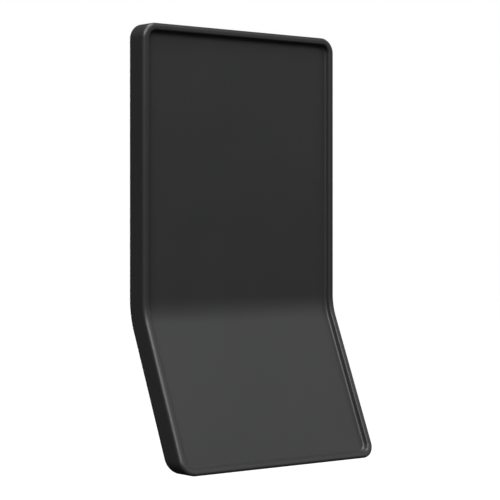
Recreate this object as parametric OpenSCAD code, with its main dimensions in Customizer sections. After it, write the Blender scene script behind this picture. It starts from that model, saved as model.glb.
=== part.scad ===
// Kick plate for a door, hung on a hidden wall plate.
// Millimetres. The door's face is the plane y = 0, the plate's front looks along -Y, +Z is up
// and x = 0 is the middle. The origin is the middle of the wall plate's back.

/* [Plate] */
// Width of the plate
body_w = 150; // [130:1:180]
// Height of the upright part, above the bend
upper_h = 163.3; // [150:0.1:200]
// Length of the sloping lip's front, below the bend
lip_len = 94.2; // [84:0.1:120]
// Lean of the lip away from the door, in degrees
lip_angle = 23; // [12:1:30]
// Radius of the bend on the front of the rim
bend_r = 36; // [20:0.5:40]
// Depth from the door to the front of the rim
depth = 14.6; // [14.5:0.1:18]
// Radius of the plate's four corners
corner_r = 9.5; // [8:0.5:14]

/* [Rim] */
// Width of the raised rim
rim_w = 4.4; // [4:0.1:6]
// Depth of the recessed face below the rim
recess = 3.5; // [2.5:0.1:3.5]
// Rounding of the rim's outer edge
edge_r = 2.2; // [1.5:0.1:3]
// Rounding of the rim's inner edge
inner_r = 1; // [0.4:0.1:1]
// Rounding at the foot of the rim, where it meets the face
foot_r = 1.2; // [0.5:0.1:1.2]
// Rounding of the edge that touches the door
back_r = 0.8; // [0.4:0.1:1]

/* [Shell] */
// Thickness of the moulded face
skin = 2.5; // [2:0.1:2.5]
// Thickness of the moulded side walls
wall = 3; // [3:0.1:3.5]
// Thickness of the closing panel behind the lip
panel_t = 2.2; // [2:0.1:2.4]

/* [Steel] */
// Thickness of the core sheet
core_t = 2; // [1.5:0.5:2]
// Thickness of the wall plate
plate_t = 2; // [1.5:0.5:2]
// Width of the wall plate
plate_w = 112; // [100:1:120]
// Height of the wall plate
plate_h = 124; // [112:1:124]
// How far the plate lifts to come off its studs
lift = 12; // [12:0.5:14]

/* [Fixings] */
// Distance between the studs, left to right
stud_gap_x = 72; // [60:1:76]
// Distance between the studs, bottom to top
stud_gap_z = 68; // [60:1:76]
// Distance between the door screws, left to right
door_gap_x = 92; // [90:1:96]
// Distance between the door screws, bottom to top
door_gap_z = 104; // [98:1:106]
// Radius of a door screw's thread
door_screw_r = 2.1; // [1.75:0.05:2.25]
// Length of a door screw below the wall plate
door_screw_len = 22; // [16:1:40]

/* [Toe grip] */
// Number of ribs on the toe grip
grip_ribs = 7; // [3:1:8]
// Width of the toe grip
grip_w = 104; // [60:2:120]
// Height of the toe grip along the lip
grip_h = 36; // [30:1:40]

/* [Hidden] */
e = 0.01;
overlap = 0.02;
lip_play = 0.005;
round_fn = 64;
small_fn = 40;
corner_fn = 96;
bend_fn = 180;

// the straight line along the door where the bend starts, clear of the wall plate when lifted
plate_clear = 10.5;
bend_z = -plate_h / 2 - lift - plate_clear;
top_z = bend_z + upper_h;
bend_y = -depth - bend_r;
corner_x = body_w / 2 - corner_r;

// the lip's bottom edge is level, so it rises from the front of the rim to the back
slope = tan(lip_angle);
function rise(y) = (y + depth) * slope;
// where the lip's bottom corners start
level_z = bend_z - bend_r * sin(lip_angle) - (lip_len - corner_r) * cos(lip_angle);

// depths below the front of the rim, as y positions
face_y = -depth + recess;
skin_y = face_y + skin;
core_gap = 1;
core_back_y = -plate_t - core_gap;
core_y = core_back_y - core_t;
panel_y = -panel_t;

// core and closing panel inside the walls
core_margin = 3;
core_w = body_w - 2 * (wall + core_margin);
core_corner_r = 6;
fit_gap = 0.2;
panel_w = body_w - 2 * (wall + fit_gap);
panel_rise = 8;
spacer_r = 4;

// the wall plate's corners
plate_corner_r = 8;

// hanging studs and their keyholes
stud_r = 3;
stud_head_r = 6;
stud_neck_r = 2;
stud_head_t = 2.1;
stud_play = 0.2;
slot_gap = 0.1;
key_gap = 0.5;
slot_r = stud_r + slot_gap;
key_r = stud_head_r + key_gap;

// screws and inserts in the cover's bosses
boss_r = 4;
insert_r = 2.1;
insert_bore_r = 1.5;
insert_len = 4.5;
boss_skin = 1.2;
tip_gap = 0.3;
screw_r = 1.45;
screw_head_r = 3;
screw_head_t = 1.7;
screw_gap = 0.2;
hex_r = 1.1;
hex_deep = 1.1;
upper_boss_x = [-62, 0, 62];
upper_boss_z = [-64, 0, 64];
lip_boss_x = [-60, 0, 60];
lip_boss_s = [14, lip_len - 20];

// door screws
door_head_r = 4.2;
door_head_t = 2;
door_tip_r = 0.3;
door_tip_len = 5;
cross_l = 4.4;
cross_w = 0.9;
cross_deep = 1.2;

// small rubber parts
pad_r = 5;
pad_gap = 0.05;
pad_x = 16;
pad_z = 46;
seal_w = 1.4;
seal_t = 1.2;
seal_end = 4;
grip_base = 0.8;
grip_proud = 0.2;
grip_rib_t = 1.2;
grip_rib_w = 2;
grip_s = 46;

// stiffening ribs behind the face
rib_t = 1.5;
rib_x = [-22, 22];
rib_half = 48;
lip_rib_half = 24;

// Which piece to draw

// ---- frames ----

// puts a piece drawn straight below the bend onto the sloping lip
module on_lip() {
    translate([0, bend_y, bend_z])
        rotate([-lip_angle, 0, 0])
            translate([0, -bend_y, -bend_z])
                children();
}

// slants the lip's end piece, drawn square to the lip, so that its bottom is level
module level_bottom() {
    multmatrix([[1, 0, 0, 0], [0, 1, 0, 0], [0, slope, 1, depth * slope], [0, 0, 0, 1]])
        children();
}

// the space below the start of the lip's bottom corners
module below_corners() {
    translate([-body_w, -body_w, level_z - overlap - body_w])
        cube([2 * body_w, 2 * body_w, body_w]);
}

// sweeps a section drawn across the plate around the bend
module around_bend() {
    multmatrix([[0, 0, -1, 0], [1, 0, 0, bend_y], [0, -1, 0, bend_z], [0, 0, 0, 1]])
        rotate_extrude(angle = lip_angle, $fn = bend_fn)
            translate([-bend_y, 0])
                rotate(-90)
                    children();
}

// turns a shape drawn along +Z so that it runs along +Y
module along_y() {
    rotate([-90, 0, 0])
        children();
}

// sweeps an edge section around the bottom right corner, about its own left side
module around_corner() {
    rotate([-90, 0, 0])
        rotate_extrude(angle = 90, $fn = corner_fn)
            children();
}

// ---- sections, drawn across the plate with x to the right and y to the door ----

module round_at(x, y, r, sx, sy) {
    translate([x, y])
        difference() {
            translate([sx > 0 ? 0 : -r - e, sy > 0 ? 0 : -r - e])
                square(r + e);
            circle(r, $fn = round_fn);
        }
}

// play draws every wall that much thinner, so that one run can end inside the next
module cover_section(play = 0) {
    half = body_w / 2 - play;
    front = -depth + play;
    open = body_w / 2 - rim_w + play;
    inner_y = skin_y - play;
    inner_x = body_w / 2 - wall + play;
    difference() {
        translate([-half, front])
            square([2 * half, -front - play]);
        for (side = [-1, 1]) {
            round_at(side * (half - edge_r), front + edge_r, edge_r, side, -1);
            round_at(side * (half - back_r), -play - back_r, back_r, side, 1);
        }
        recess_section(open, front, face_y + play);
        translate([-inner_x, inner_y])
            square([2 * inner_x, -inner_y + e]);
    }
}

// the space above the recessed face, rounded at its foot and its mouth
module recess_section(open, front, floor_y) {
    difference() {
        translate([-open, front - e])
            square([2 * open, floor_y - front + e]);
        for (side = [-1, 1])
            round_at(side * (open - foot_r), floor_y - foot_r, foot_r, side, 1);
    }
    for (side = [-1, 1])
        difference() {
            translate([side > 0 ? open - e : -open - inner_r, front - e])
                square([inner_r + e, inner_r + e]);
            translate([side * (open + inner_r), front + inner_r])
                circle(inner_r, $fn = round_fn);
        }
}

// the outer strip of the cover's section, moved so that the corner's axis is at x = 0
module cover_edge(play = 0) {
    translate([-corner_x, 0])
        intersection() {
            cover_section(play);
            translate([corner_x, -depth - 1])
                square([corner_r, depth + 2]);
        }
}

module sheet_section(w, y0, t) {
    translate([-w / 2, y0])
        square([w, t]);
}

// ---- the cover's end strip with its two corners, ending downwards at z = 0 ----

module cover_end(play = 0) {
    translate([corner_x, 0, corner_r])
        around_corner()
            cover_edge(play);
    translate([-corner_x, 0, corner_r])
        mirror([1, 0, 0])
            around_corner()
                cover_edge(play);
    translate([-corner_x, 0, corner_r])
        rotate([0, 90, 0])
            linear_extrude(2 * corner_x)
                cover_edge(play);
}

module boss_at(y1) {
    translate([0, skin_y - e, 0])
        along_y()
            cylinder(r = boss_r, h = y1 - skin_y + e, $fn = small_fn);
}

module boss_hole() {
    translate([0, skin_y - skin + boss_skin, 0])
        along_y()
            cylinder(r = insert_r, h = core_y - skin_y + skin, $fn = small_fn);
}

module at_upper_bosses() {
    for (x = upper_boss_x)
        for (z = upper_boss_z)
            translate([x, 0, z])
                children();
}

module at_lip_bosses() {
    on_lip()
        for (x = lip_boss_x)
            for (s = lip_boss_s)
                translate([x, 0, bend_z - s])
                    children();
}

module at_studs() {
    for (x = [-1, 1])
        for (z = [-1, 1])
            translate([x * stud_gap_x / 2, 0, z * stud_gap_z / 2])
                children();
}

module at_door_screws() {
    for (x = [-1, 1])
        for (z = [-1, 1])
            translate([x * door_gap_x / 2, 0, z * door_gap_z / 2])
                children();
}

// ---- the moulded cover ----

module cover_ribs() {
    for (x = rib_x) {
        translate([x - rib_t / 2, skin_y - e, -rib_half])
            cube([rib_t, core_y - skin_y + e, 2 * rib_half]);
        on_lip()
            translate([x - rib_t / 2, skin_y - e, bend_z - grip_s - lip_rib_half])
                cube([rib_t, core_y - skin_y + e, 2 * lip_rib_half]);
    }
}

module seal_path(w, t) {
    y0 = -t;
    inset = wall / 2;
    r = corner_r - inset;
    side_z = bend_z + seal_end;
    for (side = [-1, 1])
        translate([side * (body_w / 2 - inset) - w / 2, y0, side_z])
            cube([w, t + e, top_z - corner_r - side_z]);
    translate([-corner_x, y0, top_z - inset - w / 2])
        cube([2 * corner_x, t + e, w]);
    for (side = [0, 1])
        mirror([side, 0, 0])
            translate([corner_x, 0, top_z - corner_r])
                mirror([0, 0, 1])
                    around_corner()
                        translate([r - w / 2, y0])
                            square([w, t + e]);
}

module front_cover() {
    color("#2b2c2d")
        difference() {
            union() {
                translate([0, 0, bend_z])
                    linear_extrude(upper_h - corner_r)
                        cover_section();
                translate([0, 0, top_z])
                    mirror([0, 0, 1])
                        cover_end();
                around_bend()
                    cover_section();
                difference() {
                    on_lip()
                        translate([0, 0, bend_z - lip_len])
                            linear_extrude(lip_len + overlap)
                                cover_section(lip_play);
                    below_corners();
                }
                on_lip()
                    translate([0, 0, bend_z - lip_len])
                        level_bottom()
                            cover_end(2 * lip_play);
                at_upper_bosses()
                    boss_at(core_y);
                at_lip_bosses()
                    boss_at(core_y);
                cover_ribs();
            }
            at_upper_bosses()
                boss_hole();
            at_lip_bosses()
                boss_hole();
            seal_path(seal_w, seal_t);
        }
}

// ---- the steel core ----

module rounded_plate(w, h, y0, t, r) {
    hull_x = w / 2 - r;
    translate([-w / 2, y0, r])
        cube([w, t, h - 2 * r]);
    translate([-hull_x, y0, 0])
        cube([2 * hull_x, t, h]);
    for (x = [-hull_x, hull_x])
        for (z = [r, h - r])
            translate([x, y0, z])
                along_y()
                    cylinder(r = r, h = t, $fn = small_fn);
}

// a sheet with two rounded corners at its top and a square foot
module round_top_sheet(w, z0, z1, y0, t, r) {
    translate([-w / 2, y0, z0])
        cube([w, t, z1 - z0 - r]);
    translate([-w / 2 + r, y0, z1 - r - e])
        cube([w - 2 * r, t, r + e]);
    for (side = [-1, 1])
        translate([side * (w / 2 - r), y0, z1 - r])
            along_y()
                cylinder(r = r, h = t, $fn = small_fn);
}

// the same sheet running down the lip, its start a hair inside the end of the bend
module lip_sheet(w, length, y0, t, r) {
    on_lip()
        translate([0, 0, 2 * bend_z])
            mirror([0, 0, 1])
                round_top_sheet(w - 2 * lip_play, bend_z - overlap, bend_z + length,
                    y0 + lip_play, t - 2 * lip_play, r);
}

module keyhole() {
    y0 = core_y - 1;
    h = core_t + 2;
    translate([0, y0, 0])
        along_y()
            cylinder(r = slot_r, h = h, $fn = small_fn);
    translate([-slot_r, y0, -lift])
        cube([2 * slot_r, h, lift]);
    translate([0, y0, -lift])
        along_y()
            cylinder(r = key_r, h = h, $fn = small_fn);
}

module core_screw_hole() {
    translate([0, core_y - 1, 0])
        along_y()
            cylinder(r = screw_r + screw_gap, h = core_t + 2, $fn = small_fn);
    translate([0, core_back_y - screw_head_t, 0])
        along_y()
            cylinder(r1 = screw_r + screw_gap, r2 = screw_head_r + screw_gap,
                h = screw_head_t + e, $fn = small_fn);
}

module plain_hole(r, y0, y1) {
    translate([0, y0 - 1, 0])
        along_y()
            cylinder(r = r, h = y1 - y0 + 2, $fn = small_fn);
}

module core_plate() {
    lip_end = lip_len - wall - core_margin - rise(core_back_y);
    color("#9a9c9e")
        difference() {
            union() {
                round_top_sheet(core_w, bend_z, top_z - wall - core_margin, core_y, core_t,
                    core_corner_r);
                around_bend()
                    sheet_section(core_w, core_y, core_t);
                lip_sheet(core_w, lip_end, core_y, core_t, core_corner_r);
            }
            at_studs()
                keyhole();
            at_upper_bosses()
                core_screw_hole();
            at_lip_bosses()
                plain_hole(screw_r + screw_gap, core_y, core_back_y);
        }
}

// ---- the panel that closes the lip behind ----

module lip_back() {
    end = lip_len - wall - fit_gap - rise(0);
    color("#303132")
        difference() {
            union() {
                translate([-panel_w / 2, panel_y, bend_z])
                    cube([panel_w, panel_t, panel_rise]);
                around_bend()
                    sheet_section(panel_w, panel_y, panel_t);
                lip_sheet(panel_w, end, panel_y, panel_t, corner_r - wall - fit_gap);
                at_lip_bosses()
                    translate([0, core_back_y, 0])
                        along_y()
                            cylinder(r = spacer_r, h = panel_y - core_back_y + e, $fn = small_fn);
            }
            at_lip_bosses() {
                plain_hole(screw_r + screw_gap, core_back_y, 0);
                translate([0, -screw_head_t, 0])
                    along_y()
                        cylinder(r1 = screw_r + screw_gap, r2 = screw_head_r + screw_gap,
                            h = screw_head_t + e, $fn = small_fn);
            }
            on_lip()
                translate([-grip_w / 2, -grip_base, bend_z - grip_s - grip_h / 2])
                    cube([grip_w, grip_base + 1, grip_h]);
        }
}

module toe_grip() {
    pitch = (grip_h - 2 * grip_rib_w) / (grip_ribs - 1);
    first = bend_z - grip_s - grip_h / 2 + grip_rib_w;
    color("#1c1c1c")
        on_lip() {
            translate([-grip_w / 2, -grip_base, bend_z - grip_s - grip_h / 2])
                cube([grip_w, grip_base + grip_proud, grip_h]);
            for (i = [0 : grip_ribs - 1])
                translate([-grip_w / 2 + grip_rib_w, grip_proud - e, first + i * pitch
                    - grip_rib_w / 2])
                    cube([grip_w - 2 * grip_rib_w, grip_rib_t + e, grip_rib_w]);
        }
}

module edge_seal() {
    color("#161616")
        intersection() {
            seal_path(seal_w, seal_t);
            translate([-body_w, -depth, bend_z])
                cube([2 * body_w, depth, 2 * upper_h]);
        }
}

module rattle_pads() {
    color("#242424")
        for (x = [-1, 1])
            for (z = [-1, 1])
                translate([x * pad_x, core_back_y, z * pad_z])
                    along_y()
                        cylinder(r = pad_r, h = -plate_t - core_back_y - pad_gap, $fn = small_fn);
}

// ---- inserts and screws ----

module insert() {
    y0 = core_y - insert_len;
    translate([0, y0, 0])
        along_y()
            difference() {
                cylinder(r = insert_r, h = insert_len, $fn = small_fn);
                translate([0, 0, -1])
                    cylinder(r = insert_bore_r, h = insert_len + 2, $fn = small_fn);
            }
}

module cover_inserts() {
    color("#b89a55") {
        at_upper_bosses()
            insert();
        at_lip_bosses()
            insert();
    }
}

// a countersunk screw whose head is flush with y1 and whose tip is at y0
module sunk_screw(y0, y1) {
    difference() {
        union() {
            translate([0, y0, 0])
                along_y()
                    cylinder(r = screw_r, h = y1 - y0 - screw_head_t + e, $fn = small_fn);
            translate([0, y1 - screw_head_t, 0])
                along_y()
                    cylinder(r1 = screw_r, r2 = screw_head_r, h = screw_head_t, $fn = small_fn);
        }
        translate([0, y1 - hex_deep, 0])
            along_y()
                cylinder(r = hex_r, h = hex_deep + 1, $fn = 6);
    }
}

module core_screws() {
    color("#8d8f92")
        at_upper_bosses()
            sunk_screw(core_y - insert_len + tip_gap, core_back_y);
}

module lip_screws() {
    color("#8d8f92")
        at_lip_bosses()
            sunk_screw(core_y - insert_len + tip_gap, 0);
}

// ---- the part that stays on the door ----

module wall_plate() {
    color("#a4a6a8")
        difference() {
            translate([0, 0, -plate_h / 2])
                rounded_plate(plate_w, plate_h, -plate_t, plate_t, plate_corner_r);
            at_studs()
                plain_hole(stud_neck_r, -plate_t, 0);
            at_door_screws() {
                plain_hole(door_screw_r + screw_gap, -plate_t, 0);
                translate([0, -plate_t - e, 0])
                    along_y()
                        cylinder(r1 = door_head_r + screw_gap, r2 = door_screw_r + screw_gap,
                            h = door_head_t, $fn = small_fn);
            }
        }
}

module hook_studs() {
    shank_y = core_y - stud_play;
    color("#b4b6b8")
        at_studs() {
            translate([0, shank_y - stud_head_t, 0])
                along_y()
                    cylinder(r = stud_head_r, h = stud_head_t, $fn = small_fn);
            translate([0, shank_y - e, 0])
                along_y()
                    cylinder(r = stud_r, h = -plate_t - shank_y + e, $fn = small_fn);
            translate([0, -plate_t - e, 0])
                along_y()
                    cylinder(r = stud_neck_r, h = plate_t + e, $fn = small_fn);
        }
}

module door_screws() {
    color("#b0b2b4")
        at_door_screws()
            difference() {
                union() {
                    translate([0, -plate_t, 0])
                        along_y()
                            cylinder(r1 = door_head_r, r2 = door_screw_r, h = door_head_t,
                                $fn = small_fn);
                    translate([0, -plate_t + door_head_t - e, 0])
                        along_y()
                            cylinder(r = door_screw_r, h = door_screw_len - door_tip_len, $fn = small_fn);
                    translate([0, -plate_t + door_head_t + door_screw_len - door_tip_len - 2 * e, 0])
                        along_y()
                            cylinder(r1 = door_screw_r, r2 = door_tip_r, h = door_tip_len,
                                $fn = small_fn);
                }
                for (turn = [0, 90])
                    rotate([0, turn, 0])
                        translate([-cross_l / 2, -plate_t - 1, -cross_w / 2])
                            cube([cross_l, cross_deep + 1, cross_w]);
            }
}

front_cover();
core_plate();
lip_back();
toe_grip();
edge_seal();
rattle_pads();
cover_inserts();
core_screws();
lip_screws();
wall_plate();
hook_studs();
door_screws();
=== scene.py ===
"""Looks of a bent black kick plate with a raised rim, hung on a hidden wall plate.

Metres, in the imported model's frame: the door's face is the plane y = 0, the front looks along -Y
and +Z is up. Sizes and section points are in millimetres, and bent() turns them into metres.
The moulded cover, its rubber toe grip and the door screws are built here as meshes and stand for
their CAD nodes. The other CAD nodes stay as they are and get materials.
"""

import math

import bmesh
import bpy
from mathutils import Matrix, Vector


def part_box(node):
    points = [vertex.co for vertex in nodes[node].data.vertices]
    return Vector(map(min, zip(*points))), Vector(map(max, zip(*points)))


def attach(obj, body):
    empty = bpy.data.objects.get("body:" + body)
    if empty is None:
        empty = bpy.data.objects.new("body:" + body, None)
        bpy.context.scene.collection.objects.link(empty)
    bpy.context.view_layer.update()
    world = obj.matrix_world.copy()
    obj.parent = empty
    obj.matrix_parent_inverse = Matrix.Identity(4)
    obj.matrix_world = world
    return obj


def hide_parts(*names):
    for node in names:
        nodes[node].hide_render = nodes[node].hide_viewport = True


MM = 0.001

# Sizes that part.scad also names, in millimetres
HALF_W = 75
DEPTH = 14.6
BEND_R = 36
LIP_ANGLE = math.radians(23)
LIP_LEN = 94.2
UPPER_H = 163.3
CORNER_R = 9.5
RIM_W = 4.4
RECESS = 3.5
EDGE_R = 2.2
INNER_R = 1
FOOT_R = 1.2
BACK_R = 0.8
SKIN = 2.5
WALL = 3
CORE_Y = -5
SEAL_W = 1.4
SEAL_T = 1.2
SEAL_END = 4
BOSS_R = 4
BOSS_BORE_R = 2.1
BOSS_X = (-62, 0, 62)
BOSS_Z = (-64, 0, 64)
LIP_BOSS_X = (-60, 0, 60)
LIP_BOSS_S = (14, 74.2)
RIB_T = 1.5
RIB_X = (-22, 22)
RIB_HALF = 48
LIP_RIB_HALF = 24
GRIP_S = 46
GRIP_W = 104
GRIP_H = 36
GRIP_BASE = 0.8
GRIP_PROUD = 0.2
GRIP_RIBS = 7
GRIP_RIB_W = 2
GRIP_RIB_T = 1.2
SCREW_X = 46
SCREW_Z = 52
SCREW_R = 2.1
SCREW_HEAD_R = 4.2
SCREW_HEAD_T = 2
SCREW_TIP = 5
SCREW_LEN = 21.98
CROSS_REACH = 2.2
CROSS_HALF_W = 0.45
CROSS_DEEP = 1.2
PLATE_T = 2

# Where the hollow behind the face starts
SKIN_Y = -DEPTH + RECESS + SKIN

# Details that only the visual model has, in millimetres
GROOVE_STEP = 0.05
BOSS_ROOT = 0.4
RIB_DRAFT = 0.3
GRIP_CHAMFER = 0.25
THREAD_PITCH = 1.8
THREAD_CORE_R = 1.45
THREAD_RUNOUT = 1.5
THREAD_FLANK = 3.4
HEAD_EDGE_IN = 0.15
HEAD_EDGE_DOWN = 0.12
NECK_STEP = 0.05
TIP_STEP = 0.1


# ---- camera ----

def make_camera():
    """A level camera a little over a metre away, in front and to the left of the plate."""
    data = bpy.data.cameras.new("camera")
    data.sensor_width = 36
    data.lens = 126.03
    data.shift_x = -0.0005
    data.shift_y = -0.0339
    camera = bpy.data.objects.new("camera", data)
    camera.location = (-0.6749, -0.8511, -0.0456)
    camera.rotation_euler = (math.radians(90), 0, math.radians(-39.13))
    bpy.context.scene.collection.objects.link(camera)
    bpy.context.scene.camera = camera


# ---- the bend ----

BEND_ARC = BEND_R * LIP_ANGLE


def bent(x, y, s, bend_z):
    """The place of a point x across, y from the door and s down the rim's front from the bend."""
    centre_y = -DEPTH - BEND_R
    reach = y - centre_y
    turn = min(max(s / BEND_R, 0), LIP_ANGLE)
    run = s - turn * BEND_R
    return Vector((
        x * MM,
        (centre_y + reach * math.cos(turn) - run * math.sin(turn)) * MM,
        (bend_z - reach * math.sin(turn) - run * math.cos(turn)) * MM,
    ))


# ---- the moulded cover ----

def spread(start, end, count):
    """count values from start to end, both included."""
    return [start + (end - start) * i / (count - 1) for i in range(count)]


def fillet(inset, y, r, start, end, count):
    """Points of a round of radius r about (inset, y), from angle start to end in degrees."""
    return [
        (inset + r * math.cos(math.radians(a)), y + r * math.sin(math.radians(a)))
        for a in spread(start, end, count)
    ]


def cover_profile(groove):
    """The cover's section as (inset from the outside, y), from its hollow to its recessed face."""
    seal_in = WALL / 2 + SEAL_W / 2
    seal_out = WALL / 2 - SEAL_W / 2
    front = -DEPTH
    points = [
        (WALL, SKIN_Y),
        (WALL, 0),
        (seal_in, 0),
        (seal_in, -groove),
        (seal_out, -groove),
    ]
    points += fillet(BACK_R, -BACK_R, BACK_R, 90, 180, 6)
    points += fillet(EDGE_R, front + EDGE_R, EDGE_R, 180, 270, 13)
    points += fillet(RIM_W - INNER_R, front + INNER_R, INNER_R, -90, 0, 8)
    points += fillet(RIM_W + FOOT_R, front + RECESS - FOOT_R, FOOT_R, 180, 90, 8)
    return points


def cover_stations():
    """Right half of the outline from the top: (x, s) on a corner's centre line, way out, slope.

    The slope is how much the outline rises for each millimetre behind the front, so that the lip's
    bottom edge is level.
    """
    corner_x = HALF_W - CORNER_R
    top = -UPPER_H + CORNER_R
    bottom = BEND_ARC + LIP_LEN - CORNER_R
    slope = math.tan(LIP_ANGLE)
    turn = [math.radians(a) for a in spread(0, 90, 13)]
    rows = spread(top, -SEAL_END, 18) + [-SEAL_END + GROOVE_STEP] + spread(0, BEND_ARC, 17)
    rows += spread(BEND_ARC, bottom - 1.2 * DEPTH * slope, 13)[1:]
    stations = [(corner_x, top, math.sin(a), -math.cos(a), 0) for a in turn]
    stations += [(corner_x, s, 1, 0, 0) for s in rows[1:]]
    stations += [(corner_x, bottom, math.cos(a), math.sin(a), slope) for a in turn]
    return stations


def add_cover_shell(bm, bend_z):
    """The shell: rings of the section round the outline, closed by the face and the skin."""
    right = cover_stations()
    loop = right + [(-x, s, -nx, ns, slope) for x, s, nx, ns, slope in reversed(right)]
    rings = []
    for x, s, nx, ns, slope in loop:
        groove = SEAL_T if s <= -SEAL_END else 0
        ring = []
        for inset, y in cover_profile(groove):
            out = CORNER_R - inset
            down = s + out * ns - slope * (y + DEPTH)
            ring.append(bm.verts.new(bent(x + out * nx, y, down, bend_z)))
        rings.append(ring)
    for ring, other in zip(rings, rings[1:] + rings[:1]):
        for i in range(len(ring) - 1):
            bm.faces.new((ring[i], ring[i + 1], other[i + 1], other[i]))
    for k in range(len(right) - 1):
        for i in (0, -1):
            corners = (rings[k][i], rings[k + 1][i], rings[-k - 2][i], rings[-k - 1][i])
            bm.faces.new(corners if i else corners[::-1])


def add_boss(bm, x, s, bend_z):
    """A hollow boss for an insert, from the skin to the steel core."""
    profile = (
        (BOSS_R + BOSS_ROOT, SKIN_Y),
        (BOSS_R, SKIN_Y + BOSS_ROOT),
        (BOSS_R, CORE_Y),
        (BOSS_BORE_R, CORE_Y),
        (BOSS_BORE_R, SKIN_Y),
    )
    turn = [math.radians(a) for a in spread(0, 360, 33)[:-1]]
    rings = [
        [bm.verts.new(bent(x + r * math.cos(a), y, s + r * math.sin(a), bend_z)) for a in turn]
        for r, y in profile
    ]
    for ring, other in zip(rings, rings[1:]):
        for i in range(len(turn)):
            j = (i + 1) % len(turn)
            bm.faces.new((ring[i], ring[j], other[j], other[i]))


def add_rib(bm, x, s_middle, half, bend_z):
    """A stiffening rib behind the face, a little thicker at its root."""
    corners = ((-1, -1), (1, -1), (1, 1), (-1, 1))
    low, high = [
        [
            bm.verts.new(bent(x + side * t / 2, y, s_middle + end * half, bend_z))
            for side, end in corners
        ]
        for t, y in ((RIB_T + RIB_DRAFT, SKIN_Y), (RIB_T, CORE_Y))
    ]
    for i in range(4):
        j = (i + 1) % 4
        bm.faces.new((low[i], low[j], high[j], high[i]))
    bm.faces.new(high)


def finish_mesh(bm, name, sharp=35):
    """Turns the bmesh into a smooth-shaded object with its hard edges kept."""
    bmesh.ops.remove_doubles(bm, verts=bm.verts, dist=1e-7)
    bmesh.ops.recalc_face_normals(bm, faces=bm.faces)
    mesh = bpy.data.meshes.new(name)
    bm.to_mesh(mesh)
    bm.free()
    mesh.shade_smooth()
    mesh.set_sharp_from_angle(angle=math.radians(sharp))
    piece = bpy.data.objects.new(name, mesh)
    bpy.context.scene.collection.objects.link(piece)
    weigh_normals(piece)
    return piece


def weigh_normals(piece):
    """Keeps large flat faces flat where they meet a round."""
    modifier = piece.modifiers.new("normals", "WEIGHTED_NORMAL")
    modifier.keep_sharp = True
    modifier.weight = 100


def make_cover(bend_z):
    """The moulded cover with its bosses and ribs."""
    bm = bmesh.new()
    add_cover_shell(bm, bend_z)
    for x in BOSS_X:
        for z in BOSS_Z:
            add_boss(bm, x, bend_z - z, bend_z)
    for x in LIP_BOSS_X:
        for s in LIP_BOSS_S:
            add_boss(bm, x, BEND_ARC + s, bend_z)
    for x in RIB_X:
        add_rib(bm, x, bend_z, RIB_HALF, bend_z)
        add_rib(bm, x, BEND_ARC + GRIP_S, LIP_RIB_HALF, bend_z)
    return finish_mesh(bm, "moulded_cover")


# ---- the toe grip ----

def rib_profile():
    """(s, height share) across all the ribs of the grip, from its lower edge up."""
    pitch = (GRIP_H - 2 * GRIP_RIB_W) / (GRIP_RIBS - 1)
    first = GRIP_S + GRIP_H / 2 - GRIP_RIB_W
    points = []
    for i in range(GRIP_RIBS):
        for a in spread(0, 180, 9):
            c, h = math.cos(math.radians(a)), math.sin(math.radians(a))
            across = math.copysign(abs(c) ** 0.6, c) * GRIP_RIB_W / 2
            points.append((first - i * pitch + across, max(h, 0) ** 0.6))
    return points


def rib_ends():
    """(x, height share) along a rib, rounded off at both ends."""
    end = GRIP_W / 2 - GRIP_RIB_W
    turn = spread(0, math.pi / 2, 6)
    left = [(-end + (1 - math.cos(a)) * GRIP_RIB_T, math.sin(a)) for a in turn]
    return left + [(-x, h) for x, h in reversed(left)]


def make_toe_grip(bend_z):
    """A rubber mat with rounded ribs, on the back of the lip."""
    chamfer = GRIP_CHAMFER
    half_w, half_h = GRIP_W / 2, GRIP_H / 2
    xs = [(-half_w, None), (-half_w + chamfer, 0)] + rib_ends()
    xs += [(half_w - chamfer, 0), (half_w, None)]
    rows = [(GRIP_S + half_h, None), (GRIP_S + half_h - chamfer, 0)] + rib_profile()
    rows += [(GRIP_S - half_h + chamfer, 0), (GRIP_S - half_h, None)]
    bm = bmesh.new()
    grid = []
    for x, share_x in xs:
        line = []
        for s, share_s in rows:
            edge = share_x is None or share_s is None
            y = GRIP_PROUD - chamfer if edge else GRIP_PROUD + GRIP_RIB_T * share_x * share_s
            line.append(bm.verts.new(bent(x, y, BEND_ARC + s, bend_z)))
        grid.append(line)
    for line, other in zip(grid, grid[1:]):
        for i in range(len(line) - 1):
            bm.faces.new((line[i], line[i + 1], other[i + 1], other[i]))
    rim = [e for e in bm.edges if e.is_boundary]
    skirt = bmesh.ops.extrude_edge_only(bm, edges=rim)["geom"]
    into = bent(0, -GRIP_BASE, BEND_ARC, bend_z) - bent(0, GRIP_PROUD - chamfer, BEND_ARC, bend_z)
    moved = [v for v in skirt if isinstance(v, bmesh.types.BMVert)]
    bmesh.ops.translate(bm, vec=into, verts=moved)
    return finish_mesh(bm, "ribbed_toe_grip", sharp=60)


# ---- the door screws ----

def cross_reach(angle, arm, half_width):
    """How far a cross recess reaches at an angle."""
    along, across = sorted((abs(math.cos(angle)), abs(math.sin(angle))), reverse=True)
    return min(arm / along, half_width / max(across, 1e-6))


def thread_reach(angle, y):
    """Radius of the screw's thread at an angle and a depth in the door."""
    turn = (y / THREAD_PITCH - angle / (2 * math.pi)) % 1
    ridge = max(0.0, 1 - abs(turn - 0.5) * THREAD_FLANK)
    full = min(1.0, (SCREW_LEN - y) / SCREW_TIP)
    runout = min(1.0, y / THREAD_RUNOUT)
    return THREAD_CORE_R * full ** 0.7 + (SCREW_R - THREAD_CORE_R) * ridge * full * runout


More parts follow.
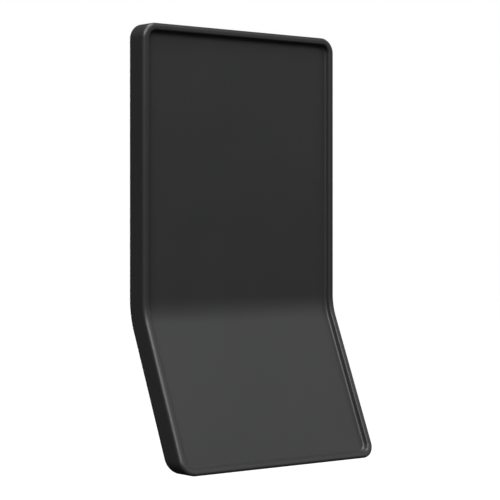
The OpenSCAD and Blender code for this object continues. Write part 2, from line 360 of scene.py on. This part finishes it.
def add_screw(bm, x, z):
    """A countersunk screw with a cross recess and a rolled thread."""
    turn = [math.radians(a) for a in spread(0, 360, 49)[:-1]]
    rings = [
        (lambda a: 0.8 * cross_reach(a, CROSS_REACH, CROSS_HALF_W), -PLATE_T + CROSS_DEEP),
        (lambda a: cross_reach(a, CROSS_REACH, CROSS_HALF_W), -PLATE_T),
        (lambda a: SCREW_HEAD_R - HEAD_EDGE_IN, -PLATE_T),
        (lambda a: SCREW_HEAD_R, -PLATE_T + HEAD_EDGE_DOWN),
        (lambda a: SCREW_R, -PLATE_T + SCREW_HEAD_T - NECK_STEP),
    ]
    rings += [(lambda a, y=y: thread_reach(a, y), y) for y in spread(0, SCREW_LEN - TIP_STEP, 111)]
    made = []
    for r, y in rings:
        ring = [(x + r(a) * math.cos(a), y, z + r(a) * math.sin(a)) for a in turn]
        made.append([bm.verts.new((px * MM, py * MM, pz * MM)) for px, py, pz in ring])
    for ring, other in zip(made, made[1:]):
        for i in range(len(turn)):
            j = (i + 1) % len(turn)
            bm.faces.new((ring[i], ring[j], other[j], other[i]))
    bm.faces.new(made[0])
    tip = bm.verts.new((x * MM, SCREW_LEN * MM, z * MM))
    for i in range(len(turn)):
        bm.faces.new((made[-1][i], made[-1][(i + 1) % len(turn)], tip))


def make_door_screws():
    """The four screws that hold the wall plate to the door."""
    bm = bmesh.new()
    for x in (-SCREW_X, SCREW_X):
        for z in (-SCREW_Z, SCREW_Z):
            add_screw(bm, x, z)
    return finish_mesh(bm, "threaded_door_screws", sharp=50)


# ---- materials ----

def new_material(name):
    """An empty Principled material: (material, node tree, shader)."""
    material = bpy.data.materials.new(name)
    material.use_nodes = True
    tree = material.node_tree
    tree.nodes.clear()
    shader = tree.nodes.new("ShaderNodeBsdfPrincipled")
    output = tree.nodes.new("ShaderNodeOutputMaterial")
    tree.links.new(shader.outputs["BSDF"], output.inputs["Surface"])
    return material, tree, shader


def noise(tree, scale, detail=2.0, stretch=None):
    """A noise texture in the piece's own metres; stretch scales its three axes."""
    place = tree.nodes.new("ShaderNodeTexCoord").outputs["Object"]
    if stretch:
        mapping = tree.nodes.new("ShaderNodeMapping")
        mapping.inputs["Scale"].default_value = stretch
        tree.links.new(place, mapping.inputs["Vector"])
        place = mapping.outputs["Vector"]
    texture = tree.nodes.new("ShaderNodeTexNoise")
    texture.inputs["Scale"].default_value = scale
    texture.inputs["Detail"].default_value = detail
    tree.links.new(place, texture.inputs["Vector"])
    return texture.outputs["Fac"]


def remap(tree, value, low, high):
    """value from its usual noise range to low..high."""
    node = tree.nodes.new("ShaderNodeMapRange")
    node.inputs["From Min"].default_value = 0.3
    node.inputs["From Max"].default_value = 0.7
    node.inputs["To Min"].default_value = low
    node.inputs["To Max"].default_value = high
    tree.links.new(value, node.inputs["Value"])
    return node.outputs["Result"]


def mix_colour(tree, factor, a, b):
    """Colour a to b by factor."""
    node = tree.nodes.new("ShaderNodeMix")
    node.data_type = "RGBA"
    node.inputs["A"].default_value = (*a, 1)
    node.inputs["B"].default_value = (*b, 1)
    tree.links.new(factor, node.inputs["Factor"])
    return node.outputs["Result"]


def add_bump(tree, shader, height, depth, strength):
    """Bump from a 0..1 height that stands for depth in metres."""
    bump = tree.nodes.new("ShaderNodeBump")
    bump.inputs["Distance"].default_value = depth
    bump.inputs["Strength"].default_value = strength
    tree.links.new(height, bump.inputs["Height"])
    tree.links.new(bump.outputs["Normal"], shader.inputs["Normal"])


def moulded_plastic(name, dark, light, rough_low, rough_high):
    """Black injection-moulded plastic with a fine spark-eroded grain."""
    material, tree, shader = new_material(name)
    cloud = noise(tree, 26, 3)
    grain = noise(tree, 1500, 2)
    colour = mix_colour(tree, remap(tree, cloud, 0, 1), dark, light)
    tree.links.new(colour, shader.inputs["Base Color"])
    roughness = remap(tree, noise(tree, 60, 4), rough_low, rough_high)
    tree.links.new(roughness, shader.inputs["Roughness"])
    add_bump(tree, shader, grain, 0.00002, 0.35)
    return material


def rubber(name, dark, light):
    """Matt black rubber with a coarse grain."""
    material, tree, shader = new_material(name)
    cloud = noise(tree, 140, 4)
    colour = mix_colour(tree, remap(tree, cloud, 0, 1), dark, light)
    tree.links.new(colour, shader.inputs["Base Color"])
    tree.links.new(remap(tree, noise(tree, 300, 3), 0.72, 0.9), shader.inputs["Roughness"])
    shader.inputs["Specular IOR Level"].default_value = 0.35
    add_bump(tree, shader, noise(tree, 2200, 3), 0.00004, 0.5)
    return material


def metal(name, dark, light, rough_low, rough_high, stretch):
    """Worked metal: streaks along one way, and a cloudy plated tone over them."""
    material, tree, shader = new_material(name)
    shader.inputs["Metallic"].default_value = 1
    cloud = noise(tree, 45, 5)
    streaks = noise(tree, 900, 3, stretch)
    colour = mix_colour(tree, remap(tree, cloud, 0, 1), dark, light)
    tree.links.new(colour, shader.inputs["Base Color"])
    tree.links.new(remap(tree, streaks, rough_low, rough_high), shader.inputs["Roughness"])
    add_bump(tree, shader, streaks, 0.00001, 0.4)
    return material


def set_material(piece, material):
    """Gives a piece this one material."""
    piece.data.materials.clear()
    piece.data.materials.append(material)


# ---- studio ----

def make_floor():
    """A wide pale floor, well below the plate."""
    bm = bmesh.new()
    bmesh.ops.create_grid(bm, x_segments=16, y_segments=16, size=14)
    mesh = bpy.data.meshes.new("floor")
    bm.to_mesh(mesh)
    bm.free()
    floor = bpy.data.objects.new("floor", mesh)
    floor.location = (0, 0, -0.75)
    bpy.context.scene.collection.objects.link(floor)
    material, tree, shader = new_material("floor_white")
    cloud = remap(tree, noise(tree, 3), 0, 1)
    colour = mix_colour(tree, cloud, (0.86, 0.86, 0.86), (0.9, 0.9, 0.9))
    tree.links.new(colour, shader.inputs["Base Color"])
    shader.inputs["Roughness"].default_value = 0.9
    shader.inputs["Emission Color"].default_value = (1, 1, 1, 1)
    shader.inputs["Emission Strength"].default_value = 1.0
    mesh.materials.append(material)
    floor.visible_diffuse = False
    floor.visible_glossy = False
    floor.visible_shadow = False


def make_world():
    """White to look at, and a dim even fill on the plate."""
    world = bpy.data.worlds.new("studio")
    bpy.context.scene.world = world
    world.use_nodes = True
    tree = world.node_tree
    tree.nodes.clear()
    seen = tree.nodes.new("ShaderNodeBackground")
    seen.inputs["Strength"].default_value = 1.0
    fill = tree.nodes.new("ShaderNodeBackground")
    fill.inputs["Strength"].default_value = 0.02
    rays = tree.nodes.new("ShaderNodeLightPath")
    mix = tree.nodes.new("ShaderNodeMixShader")
    output = tree.nodes.new("ShaderNodeOutputWorld")
    for background in (seen, fill):
        background.inputs["Color"].default_value = (1, 1, 1, 1)
    tree.links.new(rays.outputs["Is Camera Ray"], mix.inputs["Fac"])
    tree.links.new(fill.outputs["Background"], mix.inputs[1])
    tree.links.new(seen.outputs["Background"], mix.inputs[2])
    tree.links.new(mix.outputs["Shader"], output.inputs["Surface"])


def softbox(name, azimuth, elevation, watts, size=1.3, tint=(1, 1, 1)):
    """A round soft light that looks at the plate from an azimuth and elevation in degrees."""
    distance = 2.5
    data = bpy.data.lights.new(name, "AREA")
    data.shape = "DISK"
    data.size = size
    data.energy = watts
    data.color = tint
    light = bpy.data.objects.new(name, data)
    a, e = math.radians(azimuth), math.radians(elevation)
    middle = Vector((0, -0.02, -0.05))
    away = Vector((math.sin(a) * math.cos(e), -math.cos(a) * math.cos(e), math.sin(e)))
    light.location = middle + distance * away
    light.rotation_euler = (middle - light.location).to_track_quat("-Z", "Y").to_euler()
    bpy.context.scene.collection.objects.link(light)


def make_lights():
    """Most of the light comes from above and the left; two softboxes light the back."""
    softbox("overhead", 0, 82, 37, tint=(0.96, 0.98, 1.0))
    softbox("key_left", -58, 40, 32)
    softbox("key_front", -30, 40, 20)
    softbox("front", 0, 40, 8)
    softbox("front_right", 30, 40, 4.5)
    softbox("side_right", 60, 20, 3)
    softbox("low", 0, -25, 3)
    softbox("behind", 164, 0, 28, size=1.1)
    softbox("behind_high", 170, 70, 8)


# ---- the scene ----

make_camera()
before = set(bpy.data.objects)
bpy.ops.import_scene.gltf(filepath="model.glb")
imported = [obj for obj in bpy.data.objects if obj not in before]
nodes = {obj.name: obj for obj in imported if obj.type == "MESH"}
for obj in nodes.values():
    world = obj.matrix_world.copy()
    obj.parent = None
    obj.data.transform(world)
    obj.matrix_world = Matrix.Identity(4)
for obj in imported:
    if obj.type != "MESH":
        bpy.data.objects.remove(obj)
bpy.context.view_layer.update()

cover_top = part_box("front_cover")[1].z
bend_z = cover_top / MM - UPPER_H

# Dark and light tone, lowest and highest roughness, and the noise scale that makes the streaks
black = moulded_plastic(
    "black_moulding", (0.0345, 0.0347, 0.0352), (0.0365, 0.0367, 0.0372), 0.34, 0.38)
panel_black = moulded_plastic(
    "black_panel", (0.026, 0.026, 0.027), (0.032, 0.032, 0.033), 0.5, 0.58)
black_rubber = rubber(
    "black_rubber", (0.012, 0.012, 0.012), (0.02, 0.02, 0.02))
zinc = metal(
    "zinc_sheet", (0.46, 0.47, 0.49), (0.52, 0.53, 0.55), 0.44, 0.52, (1, 1, 0.05))
brushed_zinc = metal(
    "brushed_zinc", (0.56, 0.56, 0.57), (0.62, 0.62, 0.63), 0.38, 0.46, (0.05, 1, 1))
turned_steel = metal(
    "turned_steel", (0.5, 0.51, 0.52), (0.6, 0.6, 0.61), 0.2, 0.32, (1, 0.06, 1))
brass = metal(
    "turned_brass", (0.6, 0.42, 0.18), (0.68, 0.5, 0.24), 0.22, 0.36, (1, 0.06, 1))

cover = make_cover(bend_z)
set_material(cover, black)
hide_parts("front_cover")
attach(cover, "plate")

grip = make_toe_grip(bend_z)
set_material(grip, black_rubber)
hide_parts("toe_grip")
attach(grip, "plate")

screws = make_door_screws()
set_material(screws, turned_steel)
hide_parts("door_screws")
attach(screws, "bracket")

NODE_MATERIALS = {
    "core_plate": zinc,
    "lip_back": panel_black,
    "edge_seal": black_rubber,
    "rattle_pads": black_rubber,
    "cover_inserts": brass,
    "core_screws": turned_steel,
    "lip_screws": turned_steel,
    "wall_plate": brushed_zinc,
    "hook_studs": turned_steel,
}
for name, material in NODE_MATERIALS.items():
    set_material(nodes[name], material)

make_world()
make_floor()
make_lights()
bpy.context.scene.view_settings.view_transform = "Standard"
